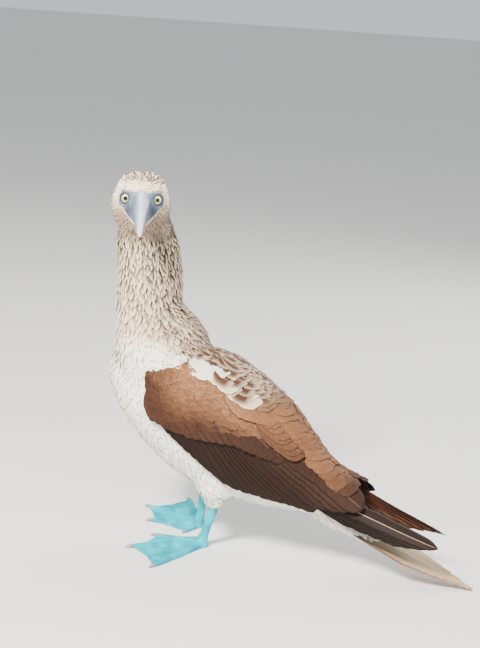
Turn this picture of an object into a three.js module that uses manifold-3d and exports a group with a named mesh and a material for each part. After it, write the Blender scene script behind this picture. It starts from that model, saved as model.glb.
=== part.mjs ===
// A blue-footed booby at rest, life size, in millimetres, +Z up.
// The bird heads towards -X and its left side faces -Y. Its head is turned to its left.
import * as THREE from 'three';
import { mergeVertices } from 'three/addons/utils/BufferGeometryUtils.js';
import Module from 'manifold-3d';

const wasm = await Module();
wasm.setup();

const GAP = 0.3;
const RING = 22;
const WELD = 0.02;

// The body axis runs from the tail root forwards and up to the breast.
const AXIS_ROOT = new THREE.Vector3(160, 0, 80);
const AXIS_PITCH = 25.2;

// Body sections along the axis: distance, centre height, half height, half width.
const TORSO = [
  [-22, -6, 16, 24], [25, -3, 30, 36], [66, -6, 48, 46], [110, -6, 66, 54], [160, -8, 76, 60],
  [214, -5, 75, 62], [262, -8, 57, 57], [296, -9, 39, 43], [318, -6, 24, 27], [330, -5, 8, 9],
];
// The folded wings lie on the body and run on behind it over the tail.
const CARRIAGE = [
  [-142, 23, 18, 23], [-128, 20, 21, 25], [-100, 12, 26, 28], [-57, 2, 32, 31], [-20, -2, 34, 34],
  ...TORSO.slice(1),
];
// Lower edge and upper edge of the folded wing: distance along the axis, height off it.
const WING_LOW = [
  [-134, 34], [-128, 30], [-100, 19], [-58, 6], [-26, -2], [26, -8], [57, -22], [100, -36], [126, -33],
  [145, -28], [180, -26], [200, -18], [217, -12], [246, 0], [270, 20], [279, 40],
];
const WING_TOP_ANGLE = 74;
const WING_THICK = 8;
const WING_LEAN = -12;
const WRAP_FROM = 0.9;
const WRAP_RATE = 1.3;
// Tiers of the folded wing, lowest first. Each goes from its first to its last feather: tip along
// the axis, tip height, length, width, slope from the axis in degrees, and lift off the body.
const WING_TIERS = {
  primaries: { count: 6, from: [-40, 3, 120, 17, 3, 2], to: [-131, 33, 170, 17, -8, 5] },
  secondaries: { count: 10, from: [192, -22, 78, 21, 33, 4], to: [14, -7, 105, 22, 10, 6.5] },
  greater_coverts: { count: 6, from: [204, 6, 42, 23, 30, 8], to: [70, 10, 58, 25, 14, 9.5] },
  tertials: { count: 4, from: [-2, 8, 110, 26, 6, 8], to: [-34, 20, 120, 21, 6, 11] },
  scapulars: { count: 4, from: [64, 12, 66, 26, 16, 11], to: [44, 16, 76, 21, 14, 12.5] },
};
const VANE_THICK = 1.1;
const VANE_TILT = 1.7;
const VANE_SINK = 2.2;
const CORE_INSET = 7;
const CORE_END = 8;
const TAIL_VANES = { pairs: 6, longest: 204, shortest: 128, spread: 12, width: 19, step: 1.5 };

// Neck sections from the breast to the skull: centre x, y, z, half depth, half width.
const NECK = [
  [-62, 0, 190, 62, 50], [-70, 0, 214, 62, 54], [-77, 0, 238, 58, 53], [-89, 0, 262, 48, 46],
  [-97, 0, 289, 40, 40], [-96, -2, 320, 39.5, 39], [-99, -4, 350, 37.5, 37.5], [-104, -7, 380, 34, 35],
  [-107, -9, 404, 25, 26],
];
const HEAD_AT = new THREE.Vector3(-110, -10.5, 408);
const HEAD_TURN = 23.5;
// Head sections from the nape to the bill root: forward, half width, up, down.
const HEAD = [
  [-37, 6, 7, 7], [-31, 21, 24, 21], [-16, 33, 37, 33], [0, 36, 41, 36], [15, 34, 38, 36],
  [27, 27.5, 31, 33], [36, 20, 24, 29], [44, 13, 17, 24],
];
// Bill: length of the culmen, drop below level, and sections as share, half width, up, down.
const BILL_LENGTH = 105;
const BILL_DROP = 12.5;
const BILL_ROOT = [35, 8];
const BILL = [
  [-0.12, 12.4, 14.5, 14], [0.1, 11.6, 13.6, 13], [0.35, 8.6, 10.2, 9.8], [0.6, 5.8, 7.4, 6.6],
  [0.82, 3.8, 5.2, 4.2], [0.95, 2.4, 3.4, 2.6], [1, 1, 1.4, 1.2],
];
const GAPE_HEIGHT = -3.5;
const EYE_AT = [31, 20.6, 12.6];
const EYE_FACING = [0.66, 0.74, 0.12];
const EYE_RADIUS = 7;
const EYE_SUNK = 4.2;
const LID = { radius: 6.3, thick: 1.25, squeeze: 0.94 };
const NOSTRIL = { height: 2.5, depth: 0.9 };

// Legs: heel places on the floor, tarsus tops, and toes as turn outwards and length.
const TARSUS_TOP = 52;
const LEGS = {
  left: { side: -1, heel: [4, -29.5], knee: [17, -29.5, 96], ankle: [15, -29.5], turn: 33 },
  right: { side: 1, heel: [-23.5, 29.5], knee: [-10, 30, 92], ankle: [-19, 29.5], turn: 20 },
};
const TOES = [[-95, 27, 3], [-33, 60, 4], [0, 86, 4.6], [40, 92, 4.6]];
// Along each toe: share of its length, swell at the joints, and height of its middle.
const TOE_FORM = [
  [0, 1.1, 2], [0.3, 1.05, 1.2], [0.5, 1.15, 1.4], [0.72, 0.95, 1], [0.9, 0.9, 1], [1, 0.7, 1],
];
const CLAW_LENGTH = 10;
const WEB_THICK = 2;
const WEB_SCOOP = 0.05;

// Tail sections from the root to the tip on the floor: x, z, half height, half width.
const TAIL = [
  [128, 84, 20, 26], [150, 69, 19, 27], [176, 56, 12, 24], [200, 46, 6, 19], [222, 37, 2, 11],
];
const TAIL_ROOT = [142, 68];
const TAIL_TIP = [336, -1];

const rad = THREE.MathUtils.degToRad;
const UP = new THREE.Vector3(0, 0, 1);
const SIDE = new THREE.Vector3(0, 1, 0);

// Smooth rows of numbers between the given sections.
function smooth(rows, steps) {
  const fine = [];
  const at = (i) => rows[Math.min(Math.max(i, 0), rows.length - 1)];
  for (let i = 0; i < rows.length - 1; i += 1) {
    for (let s = 0; s < steps; s += 1) {
      const u = s / steps;
      fine.push(rows[i].map((_, k) => {
        const [a, b, c, d] = [at(i - 1)[k], at(i)[k], at(i + 1)[k], at(i + 2)[k]];
        return b + 0.5 * u * (c - a + u * (2 * a - 5 * b + 4 * c - d + u * (3 * (b - c) + d - a)));
      }));
    }
  }
  fine.push([...rows[rows.length - 1]]);
  return fine;
}

// The row at one value of the first column.
function rowAt(rows, value) {
  let i = 0;
  while (i < rows.length - 2 && rows[i + 1][0] < value) i += 1;
  const u = (value - rows[i][0]) / (rows[i + 1][0] - rows[i][0]);
  return rows[i].map((x, k) => x + (rows[i + 1][k] - x) * u);
}

function solidOf(points, triangles) {
  const flat = new Float32Array(points.flatMap((p) => [p.x, p.y, p.z]));
  const mesh = new wasm.Mesh({ numProp: 3, vertProperties: flat, triVerts: new Uint32Array(triangles) });
  const solid = new wasm.Manifold(mesh);
  if (solid.volume() > 0) return solid;
  for (let i = 0; i < triangles.length; i += 3) {
    [triangles[i], triangles[i + 1]] = [triangles[i + 1], triangles[i]];
  }
  const turned = { numProp: 3, vertProperties: flat, triVerts: new Uint32Array(triangles) };
  return new wasm.Manifold(new wasm.Mesh(turned));
}

// A closed body through rings of points, fanned shut at both ends. The two halves of a ring are
// split alike, so that the two faces of a thin vane never cross.
function loft(rings) {
  const n = rings[0].length;
  const points = rings.flat();
  const triangles = [];
  for (let r = 0; r < rings.length - 1; r += 1) {
    for (let i = 0; i < n; i += 1) {
      const j = (i + 1) % n;
      const [a, b] = [r * n + i, r * n + j];
      if (i < n / 2) triangles.push(a, b, b + n, a, b + n, a + n);
      else triangles.push(a, b, a + n, b, b + n, a + n);
    }
  }
  for (const [r, flip] of [[0, true], [rings.length - 1, false]]) {
    const middle = rings[r].reduce((sum, p) => sum.add(p), new THREE.Vector3()).divideScalar(n);
    points.push(middle);
    for (let i = 0; i < n; i += 1) {
      const pair = [r * n + i, r * n + ((i + 1) % n)];
      if (flip) pair.reverse();
      triangles.push(points.length - 1, ...pair);
    }
  }
  return solidOf(points, triangles);
}

// An oval ring: centre, two directions, and half sizes sideways, up and down.
function oval(centre, across, up, width, high, low, count = RING) {
  return Array.from({ length: count }, (_, i) => {
    const a = (2 * Math.PI * i) / count;
    const rise = Math.sin(a) * (Math.sin(a) > 0 ? high : low);
    return centre.clone().addScaledVector(across, width * Math.cos(a)).addScaledVector(up, rise);
  });
}

function solidFrom(geometry) {
  geometry.deleteAttribute('normal');
  geometry.deleteAttribute('uv');
  const shape = mergeVertices(geometry, 0.001);
  const at = shape.attributes.position;
  const points = Array.from({ length: at.count }, (_, i) => new THREE.Vector3().fromBufferAttribute(at, i));
  return solidOf(points, Array.from(shape.index.array));
}

function bigBox(point, outward) {
  const size = 1200;
  const shape = new THREE.BoxGeometry(size, size, size);
  shape.translate(0, 0, size / 2);
  shape.applyQuaternion(new THREE.Quaternion().setFromUnitVectors(UP, outward.clone().normalize()));
  return solidFrom(shape.translate(point.x, point.y, point.z));
}

function largest(solid) {
  return solid.decompose().reduce((best, piece) => (piece.volume() > best.volume() ? piece : best));
}

// Both sides of a cut across a solid, with the gap between them.
function cut(solid, point, normal) {
  const n = normal.clone().normalize();
  const ahead = bigBox(point.clone().addScaledVector(n, GAP / 2), n);
  const behind = bigBox(point.clone().addScaledVector(n, -GAP / 2), n.clone().negate());
  return [largest(solid.intersect(ahead)), largest(solid.intersect(behind))];
}

const axisDir = new THREE.Vector3(-Math.cos(rad(AXIS_PITCH)), 0, Math.sin(rad(AXIS_PITCH)));
const axisUp = new THREE.Vector3(Math.sin(rad(AXIS_PITCH)), 0, Math.cos(rad(AXIS_PITCH)));

function axisPoint(along, height) {
  return AXIS_ROOT.clone().addScaledVector(axisDir, along).addScaledVector(axisUp, height);
}

const torsoSolid = (grow) => loft(smooth(TORSO, 2).map(([t, c, hh, w]) => (
  oval(axisPoint(t, c), SIDE, axisUp, w + grow, hh + grow, hh + grow))));

const neckSolid = (grow) => {
  const rows = smooth(NECK, 2);
  return loft(rows.map(([x, y, z, depth, width], i) => {
    const a = rows[Math.max(i - 1, 0)];
    const b = rows[Math.min(i + 1, rows.length - 1)];
    const along = new THREE.Vector3(b[0] - a[0], b[1] - a[1], b[2] - a[2]).normalize();
    const front = new THREE.Vector3().crossVectors(SIDE, along).normalize();
    return oval(new THREE.Vector3(x, y, z), SIDE, front, width + grow, depth + grow, depth + grow);
  }));
};

const headFront = new THREE.Vector3(Math.sin(rad(HEAD_TURN)), -Math.cos(rad(HEAD_TURN)), 0);
const headSide = new THREE.Vector3(Math.cos(rad(HEAD_TURN)), Math.sin(rad(HEAD_TURN)), 0);
const headPoint = (forward, side, up) => HEAD_AT.clone()
  .addScaledVector(headFront, forward).addScaledVector(headSide, side).addScaledVector(UP, up);

const headSolid = (grow) => loft(smooth(HEAD, 2).map(([f, w, up, down]) => (
  oval(headPoint(f, 0, 0), headSide, UP, w + grow, up + grow, down + grow))));

// The bill as one body along its own axis, later cut along the mouth.
const billDir = headFront.clone().multiplyScalar(Math.cos(rad(BILL_DROP)))
  .addScaledVector(UP, -Math.sin(rad(BILL_DROP)));
const billUp = headFront.clone().multiplyScalar(Math.sin(rad(BILL_DROP)))
  .addScaledVector(UP, Math.cos(rad(BILL_DROP)));
const billRoot = headPoint(BILL_ROOT[0], 0, BILL_ROOT[1]);
const billSolid = () => loft(smooth(BILL, 2).map(([u, w, up, down]) => (
  oval(billRoot.clone().addScaledVector(billDir, u * BILL_LENGTH), headSide, billUp, w, up, down, 16))));

function eyePlace(side) {
  const out = headFront.clone().multiplyScalar(EYE_FACING[0])
    .addScaledVector(headSide, side * EYE_FACING[1]).addScaledVector(UP, EYE_FACING[2]).normalize();
  const centre = headPoint(EYE_AT[0], side * EYE_AT[1], EYE_AT[2]).addScaledVector(out, -EYE_SUNK);
  return { out, centre };
}

// The rim of the lids, a ring half sunk in the head round the eye.
function lidRing({ out, centre }) {
  const shape = new THREE.TorusGeometry(LID.radius, LID.thick, 6, 16);
  shape.scale(1, LID.squeeze, 1);
  const turn = new THREE.Matrix4().lookAt(out, new THREE.Vector3(), UP);
  shape.applyMatrix4(turn);
  const at = centre.clone().addScaledVector(out, EYE_SUNK - 0.2);
  return solidFrom(shape.translate(at.x, at.y, at.z));
}

// The closed nostril runs as a shallow groove along each side of the upper bill.
function nostrilGroove(side) {
  return loft([0.08, 0.2, 0.36, 0.5].map((u, k) => {
    const [, w, up] = rowAt(BILL, u);
    const reach = w * Math.sqrt(1 - (NOSTRIL.height / up) ** 2);
    const centre = billRoot.clone().addScaledVector(billDir, u * BILL_LENGTH)
      .addScaledVector(headSide, side * reach).addScaledVector(billUp, NOSTRIL.height);
    const size = NOSTRIL.depth * [0.5, 1, 0.8, 0.3][k];
    return oval(centre, headSide, billUp, size, size, size, 6);
  }));
}

function ball(centre, radius) {
  const rings = [];
  for (let i = 1; i < 8; i += 1) {
    const a = (Math.PI * i) / 8;
    const middle = centre.clone().addScaledVector(UP, -radius * Math.cos(a));
    const size = radius * Math.sin(a);
    rings.push(oval(middle, new THREE.Vector3(1, 0, 0), SIDE, size, size, size, 14));
  }
  return loft(rings);
}

// One folded wing as a slab that follows the body, thin at its edges.
function carriagePoint(side, along, height, lift) {
  const [, c, hh, w] = rowAt(carriageRows, along);
  const s = (height - c) / hh;
  const over = Math.max(Math.abs(s) - WRAP_FROM, 0) * WRAP_RATE;
  const angle = Math.asin(THREE.MathUtils.clamp(s, -WRAP_FROM, WRAP_FROM)) + Math.sign(s) * over;
  const lean = WING_LEAN * THREE.MathUtils.clamp((60 - along) / 190, 0, 1);
  const point = axisPoint(along, c + (hh + lift) * Math.sin(angle));
  point.y = side * (w + lift) * Math.cos(angle) + lean;
  return point;
}
const carriageRows = smooth(CARRIAGE, 3);
const lowRows = smooth(WING_LOW, 2);

function wingCore(side) {
  const rings = [];
  const count = 14;
  const first = CORE_END;
  const last = WING_LOW[WING_LOW.length - 1][0];
  for (let i = 0; i <= count; i += 1) {
    const along = first + ((last - first) * i) / count;
    const [, c, hh] = rowAt(carriageRows, along);
    const low = rowAt(lowRows, along)[1] + CORE_INSET * Math.min(1, (last - along) / 60);
    const high = c + hh * Math.sin(rad(WING_TOP_ANGLE));
    const ends = Math.min(1, 0.4 + (along - first) / 90, 0.3 + (last - along) / 14);
    const outer = [];
    const inner = [];
    for (let j = 0; j <= 6; j += 1) {
      const v = j / 6;
      const height = low + (Math.max(high, low + 4) - low) * v;
      const body = Math.min(1, 0.3 + Math.sin(Math.PI * Math.min(v, 0.96)) * 1.1);
      outer.push(carriagePoint(side, along, height, 0.6 + (WING_THICK - 0.6) * ends * body));
      inner.push(carriagePoint(side, along, height, -1.5));
    }
    rings.push([...outer, ...inner.reverse()]);
  }
  return loft(rings);
}

const random = (() => {
  let seed = 17;
  return () => {
    seed = (seed * 16807) % 2147483647;
    return seed / 2147483647;
  };
})();

// A vane as a thin tapered lens. Its lower edge lies over the next vane's upper edge.
const VANE_SHAPE = [[0, 0.5], [0.3, 0.92], [0.62, 1], [0.86, 0.74], [1, 0.12]];

function wingVane(side, [along, height, length, width, slope, lift]) {
  const angle = rad(slope);
  const rings = VANE_SHAPE.map(([u, wide]) => {
    const back = length * (1 - u);
    const t = along + back * Math.cos(angle);
    const h = height + back * Math.sin(angle);
    const half = (width * wide) / 2;
    const thin = VANE_THICK * (u > 0.95 ? 0.4 : 0.5);
    const rise = lift - (1 - u) * VANE_SINK;
    const across = [half * Math.sin(angle), half * Math.cos(angle)];
    const edge = (s, up) => carriagePoint(side, t + s * across[0], h - s * across[1], up);
    const top = [edge(1, rise + VANE_TILT), edge(0, rise + thin)];
    return [...top, edge(-1, rise - VANE_TILT), edge(0, rise - thin)];
  });
  return loft(rings);
}

function wingSolid(side) {
  let wing = wingCore(side);
  for (const tier of Object.values(WING_TIERS)) {
    for (let i = 0; i < tier.count; i += 1) {
      const u = i / (tier.count - 1);
      const row = tier.from.map((x, k) => x + (tier.to[k] - x) * u);
      row[0] += (random() - 0.5) * 4;
      row[2] *= 0.97 + random() * 0.06;
      wing = wing.add(wingVane(side, row));
    }
  }
  return wing;
}

function tailSolid(grow) {
  return loft(smooth(TAIL, 2).map(([x, z, hh, w], i, rows) => {
    const a = rows[Math.max(i - 1, 0)];
    const b = rows[Math.min(i + 1, rows.length - 1)];
    const along = new THREE.Vector3(b[0] - a[0], 0, b[1] - a[1]).normalize();
    const up = new THREE.Vector3(-along.z, 0, along.x);
    return oval(new THREE.Vector3(x, 0, z), SIDE, up, w + grow, hh + grow, hh + grow, 20);
  }));
}

// Tail feathers fan out from one root, the middle pair longest and on top.
function tailVanes() {
  const root = new THREE.Vector3(TAIL_ROOT[0], 0, TAIL_ROOT[1]);
  const along = new THREE.Vector3(TAIL_TIP[0], 0, TAIL_TIP[1]).sub(root).normalize();
  const up = new THREE.Vector3(-along.z, 0, along.x);
  const { pairs, longest, shortest, spread, width, step } = TAIL_VANES;
  const vanes = [];
  for (let i = pairs - 1; i >= 0; i -= 1) {
    const u = i / (pairs - 1);
    const length = longest + (shortest - longest) * u ** 0.8;
    for (const side of [-1, 1]) {
      const turn = rad(side * (0.8 + spread * u));
      const out = along.clone().multiplyScalar(Math.cos(turn)).addScaledVector(SIDE, Math.sin(turn));
      const across = along.clone().multiplyScalar(-Math.sin(turn)).addScaledVector(SIDE, Math.cos(turn));
      const level = (0.5 - u) * step * pairs * 0.5;
      const rings = VANE_SHAPE.map(([v, wide]) => {
        const half = (width * wide * (v > 0.5 && i < 2 ? 0.75 : 1)) / 2;
        const sink = level * (1 - 0.75 * v) + (side > 0 ? 0.35 : -0.35) * (1 - v);
        const at = root.clone().addScaledVector(out, length * (0.08 + 0.92 * v)).addScaledVector(up, sink);
        at.y += side * 3 * (1 - v);
        const place = (s, h) => at.clone().addScaledVector(across, s * half * side).addScaledVector(up, h);
        return [place(1, -0.3 * wide), place(0, 0.7), place(-1, 0.3 * wide), place(0, -0.6)];
      });
      vanes.push(loft(rings));
    }
  }
  return vanes;
}

// A straight or bent limb through a few round sections: x, y, z, half depth, half width.
function limb(rows, count = 14) {
  return loft(rows.map(([x, y, z, depth, width]) => (
    oval(new THREE.Vector3(x, y, z), SIDE, new THREE.Vector3(1, 0, 0), width, depth, depth, count))));
}

function thighSolid(leg, grow) {
  const [kx, ky, kz] = leg.knee;
  const [ax, ay] = leg.ankle;
  return limb([
    [kx, ky, kz, 30 + grow, 22 + grow], [kx * 0.6 + ax * 0.4, ky, kz - 20, 24 + grow, 19 + grow],
    [ax, ay, 66, 16 + grow, 14 + grow], [ax, ay, TARSUS_TOP + GAP / 2, 8.5 + grow, 7.5 + grow],
  ], 18);
}

function tarsusSolid(leg) {
  const [ax, ay] = leg.ankle;
  const [hx, hy] = leg.heel;
  return limb([
    [ax, ay, TARSUS_TOP - GAP / 2, 6.6, 5], [ax - 0.5, ay, 46, 6, 4.4],
    [hx * 0.6 + ax * 0.4, hy * 0.6 + ay * 0.4, 26, 5.2, 3.9],
    [hx + 1, hy, 14, 5.6, 4.4], [hx, hy, 9.2, 6.4, 5.4],
  ]);
}

const floorBox = bigBox(new THREE.Vector3(0, 0, 0), UP);

function toeRay(leg, [turn, length]) {
  const angle = rad(leg.turn + turn);
  const direction = new THREE.Vector3(-Math.cos(angle), leg.side * Math.sin(angle), 0);
  const heel = new THREE.Vector3(leg.heel[0], leg.heel[1], 0);
  return { heel, direction, tip: heel.clone().addScaledVector(direction, length) };
}

// The foot: a web between four toes that lie on it as ridges, flat below.
function footSolid(leg) {
  const rays = TOES.map((toe) => toeRay(leg, toe));
  const { heel } = rays[0];
  const outline = [heel];
  rays.forEach((ray, i) => {
    outline.push(ray.tip);
    if (i < rays.length - 1) {
      const middle = ray.tip.clone().add(rays[i + 1].tip).multiplyScalar(0.5);
      outline.push(middle.lerp(heel, WEB_SCOOP));
    }
  });
  const web = outline.map((p) => p.clone().setZ(WEB_THICK));
  const sole = outline.map((p) => p.clone().setZ(-1));
  let foot = loft([sole, web]);
  rays.forEach((ray, i) => {
    const [, length, radius] = TOES[i];
    const across = new THREE.Vector3(-ray.direction.y, ray.direction.x, 0);
    const rings = TOE_FORM.map(([u, swell, z]) => {
      const size = radius * swell;
      const centre = ray.heel.clone().addScaledVector(ray.direction, u * length).setZ(z);
      return oval(centre, across, UP, size, size * 1.1, size, 10);
    });
    foot = foot.add(loft(rings));
  });
  const knob = limb([
    [heel.x, heel.y, 9.2 - GAP, 6.2, 5.2], [heel.x, heel.y, 4, 7.6, 7], [heel.x, heel.y, -2, 8, 8],
  ]);
  return largest(foot.add(knob).intersect(floorBox));
}

function clawSolid(leg, toe) {
  const ray = toeRay(leg, toe);
  const across = new THREE.Vector3(-ray.direction.y, ray.direction.x, 0);
  const size = toe[2] * 0.6;
  const form = [[GAP, 1, 1.8], [3.5, 0.95, 2.1], [7, 0.6, 1.6], [CLAW_LENGTH, 0.15, 0.6]];
  const rings = form.map(([out, k, z]) => {
    const centre = ray.tip.clone().addScaledVector(ray.direction, out).setZ(z);
    return oval(centre, across, UP, size * k, size * k, size * k, 8);
  });
  return largest(loft(rings).intersect(floorBox));
}

// Material colours, as red, green, blue in 0 to 1, with roughness.
const LOOKS = {
  white_feather: [0.9, 0.89, 0.86, 0.9], streaked_feather: [0.72, 0.66, 0.58, 0.9],
  brown_feather: [0.3, 0.21, 0.15, 0.8], tail_feather: [0.66, 0.58, 0.48, 0.85],
  blue_skin: [0.05, 0.75, 0.85, 0.5], grey_bill: [0.55, 0.63, 0.7, 0.35],
  claw: [0.7, 0.62, 0.6, 0.4], iris: [0.92, 0.88, 0.6, 0.1],
};

function shapeOf(solid) {
  const mesh = solid.getMesh();
  const shape = new THREE.BufferGeometry();
  shape.setAttribute('position', new THREE.BufferAttribute(new Float32Array(mesh.vertProperties), 3));
  shape.setIndex(new THREE.BufferAttribute(new Uint32Array(mesh.triVerts), 1));
  return shape;
}

// The largest closed surface of a solid with its near-equal corners merged.
function welded(solid) {
  const shape = mergeVertices(shapeOf(largest(solid)), WELD);
  const corners = shape.index.array;
  const kept = [];
  for (let i = 0; i < corners.length; i += 3) {
    const triangle = corners.slice(i, i + 3);
    if (new Set(triangle).size === 3) kept.push(...triangle);
  }
  const vertProperties = new Float32Array(shape.attributes.position.array);
  const mesh = new wasm.Mesh({ numProp: 3, vertProperties, triVerts: new Uint32Array(kept) });
  return largest(new wasm.Manifold(mesh));
}

const group = new THREE.Group();
function addNode(name, look, solid) {
  const [r, g, b, roughness] = LOOKS[look];
  const shape = shapeOf(welded(solid));
  const color = new THREE.Color(r, g, b);
  const material = new THREE.MeshStandardMaterial({ color, roughness, metalness: 0 });
  const node = new THREE.Mesh(shape, material);
  node.name = name;
  group.add(node);
}

// Flesh and coat: torso and neck are joined, then cut where they meet.
const neckCut = new THREE.Vector3(-95, 0, 258);
const neckNormal = new THREE.Vector3(-0.45, 0, 0.9);
const headCut = new THREE.Vector3(-106, 0, 376);
const tailCut = axisPoint(6, 0);
const trunk = torsoSolid(0).add(neckSolid(0)).add(headSolid(0)).add(tailSolid(0));
const [upper, body] = cut(trunk, neckCut, neckNormal);
const [head, neck] = cut(upper, headCut, new THREE.Vector3(0, -0.25, 1));
const [torso, tail] = cut(body, tailCut, axisDir);
const hull = torsoSolid(GAP).add(neckSolid(GAP)).add(tailSolid(GAP));

let skull = head;
for (const side of [-1, 1]) {
  const { out, centre } = eyePlace(side);
  skull = skull.add(lidRing({ out, centre })).subtract(ball(centre, EYE_RADIUS + GAP));
  addNode(side < 0 ? 'eye_right' : 'eye_left', 'iris', ball(centre, EYE_RADIUS));
}
addNode('head', 'streaked_feather', largest(skull));
const skullGrown = [-1, 1].reduce((sum, side) => (
  sum.add(ball(eyePlace(side).centre, EYE_RADIUS + 2.2))), headSolid(GAP));
addNode('neck', 'streaked_feather', neck);

const bill = [-1, 1].reduce((sum, side) => (
  sum.subtract(nostrilGroove(side))), largest(billSolid().subtract(skullGrown)));
const [billUpper, billLower] = cut(bill, billRoot.clone().addScaledVector(billUp, GAPE_HEIGHT), billUp);
addNode('bill_upper', 'grey_bill', billUpper);
addNode('bill_lower', 'grey_bill', billLower);

let trunkCut = torso;
for (const [name, leg] of Object.entries(LEGS)) {
  trunkCut = trunkCut.subtract(thighSolid(leg, GAP));
  addNode(`thigh_${name}`, 'white_feather', thighSolid(leg, 0));
  addNode(`tarsus_${name}`, 'blue_skin', tarsusSolid(leg));
  const foot = footSolid(leg);
  addNode(`foot_${name}`, 'blue_skin', foot);
  TOES.forEach((toe, i) => addNode(`claw_${name}_${i + 1}`, 'claw', clawSolid(leg, toe)));
  addNode(`wing_${name}`, 'brown_feather', largest(wingSolid(leg.side).subtract(hull)));
}
addNode('torso', 'white_feather', largest(trunkCut));
const wholeTail = tailVanes().reduce((sum, vane) => sum.add(vane), tail);
addNode('tail', 'tail_feather', largest(largest(wholeTail).intersect(floorBox)));

// The origin is set under the middle of the whole bird, on the floor.
const box = new THREE.Box3().setFromObject(group);
const middle = box.getCenter(new THREE.Vector3());
group.children.forEach((node) => node.geometry.translate(-middle.x, -middle.y, -box.min.z));

export default group;
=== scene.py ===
import math

import bmesh
import bpy
import numpy as np
from mathutils import Matrix, Vector
from mathutils.bvhtree import BVHTree


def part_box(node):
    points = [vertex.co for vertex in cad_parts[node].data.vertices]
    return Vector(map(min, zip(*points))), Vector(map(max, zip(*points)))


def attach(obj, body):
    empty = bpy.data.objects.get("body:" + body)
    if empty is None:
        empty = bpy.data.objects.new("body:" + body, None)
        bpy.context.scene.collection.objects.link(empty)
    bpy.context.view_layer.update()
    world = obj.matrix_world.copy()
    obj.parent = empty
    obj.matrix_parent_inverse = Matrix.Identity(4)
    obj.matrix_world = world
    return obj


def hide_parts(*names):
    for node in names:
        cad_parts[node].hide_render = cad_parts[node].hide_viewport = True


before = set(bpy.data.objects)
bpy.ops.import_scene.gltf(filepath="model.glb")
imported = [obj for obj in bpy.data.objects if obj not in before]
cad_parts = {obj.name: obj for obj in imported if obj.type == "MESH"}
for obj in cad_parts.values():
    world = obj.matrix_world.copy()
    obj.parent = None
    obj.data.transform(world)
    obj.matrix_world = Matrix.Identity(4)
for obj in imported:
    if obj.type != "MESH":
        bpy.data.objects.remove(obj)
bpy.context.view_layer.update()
bpy.ops.object.select_all(action="DESELECT")

# The bird's own axes, in millimetres: it heads towards -X, with its left side to -Y, and its head
# is turned to its left. The left eye's place in the frame gives the step from these axes to it.
HEAD_AT = np.array([-110.0, -10.5, 408.0])
HEAD_TURN = math.radians(23.5)
HEAD_FRONT = np.array([math.sin(HEAD_TURN), -math.cos(HEAD_TURN), 0.0])
HEAD_LEFT = np.array([math.cos(HEAD_TURN), math.sin(HEAD_TURN), 0.0])
UP = np.array([0.0, 0.0, 1.0])
EYE_AT = (31.0, 20.6, 12.6)
EYE_SUNK = 4.2
EYE_RADIUS = 7.0


def head_point(forward, left, up):
    return HEAD_AT + HEAD_FRONT * forward + HEAD_LEFT * left + UP * up


def head_way(front, left, up):
    way = HEAD_FRONT * front + HEAD_LEFT * left + UP * up
    return way / np.linalg.norm(way)


def eye_centre(side):
    return head_point(EYE_AT[0], side * EYE_AT[1], EYE_AT[2]) - head_way(0.66, side * 0.74, 0.12) * EYE_SUNK


eye_box = np.array(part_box("eye_left"), float)
SHIFT = eye_box.mean(axis=0) * 1000 - eye_centre(1)


def place(points):
    """From the bird's axes in millimetres to the frame's in metres."""
    return (np.asarray(points, float) + SHIFT) * 0.001


# The photograph's view: a long lens, a little above the back, rolled a few degrees.
CAMERA_AT = np.array([557.6, -1553.2, 651.1])
VIEW_TURN, VIEW_DOWN, VIEW_ROLL = (math.radians(a) for a in (19.0, 12.8, 4.0))
FOCAL_PIXELS = 1400.0
PHOTO_HEIGHT = 648
ahead = -np.array([math.sin(VIEW_TURN) * math.cos(VIEW_DOWN), -math.cos(VIEW_TURN) * math.cos(VIEW_DOWN),
                   math.sin(VIEW_DOWN)])
level = np.array([math.cos(VIEW_TURN), math.sin(VIEW_TURN), 0.0])
over = np.cross(level, ahead)
right = level * math.cos(VIEW_ROLL) + over * math.sin(VIEW_ROLL)
upright = over * math.cos(VIEW_ROLL) - level * math.sin(VIEW_ROLL)


def show(made):
    bpy.context.scene.collection.objects.link(made)


camera_data = bpy.data.cameras.new("camera")
camera_data.sensor_width = 36
camera_data.lens = FOCAL_PIXELS * camera_data.sensor_width / PHOTO_HEIGHT
camera_data.clip_end = 50
camera = bpy.data.objects.new("camera", camera_data)
show(camera)
turn = Matrix(np.column_stack([right, upright, -ahead]).tolist()).to_4x4()
turn.translation = Vector(place(CAMERA_AT))
camera.matrix_world = turn
bpy.context.scene.camera = camera

# A plain pale floor and soft studio light: a warm key from the camera's upper left, a wide cool
# fill from its right, a soft rim light from behind the bird, and a pale grey sky all round.
def new_finish(name, values):
    finish = bpy.data.materials.new(name)
    finish.use_nodes = True
    for socket, value in values.items():
        finish.node_tree.nodes["Principled BSDF"].inputs[socket].default_value = value
    return finish


FLOOR_SIZE = 120
bpy.ops.mesh.primitive_plane_add(size=FLOOR_SIZE, location=(0, 0, 0))
floor = bpy.context.object
floor.name = "floor"
floor.data.materials.append(new_finish("pale_floor", {"Base Color": (0.7, 0.7, 0.69, 1), "Roughness": 0.8}))


def softbox(name, spot, aim, size, power, colour):
    data = bpy.data.lights.new(name, "AREA")
    data.size = size
    data.energy = power
    data.color = colour
    lamp = bpy.data.objects.new(name, data)
    lamp.location = spot
    lamp.rotation_euler = (Vector(aim) - Vector(spot)).to_track_quat("-Z", "Y").to_euler()
    show(lamp)


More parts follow.
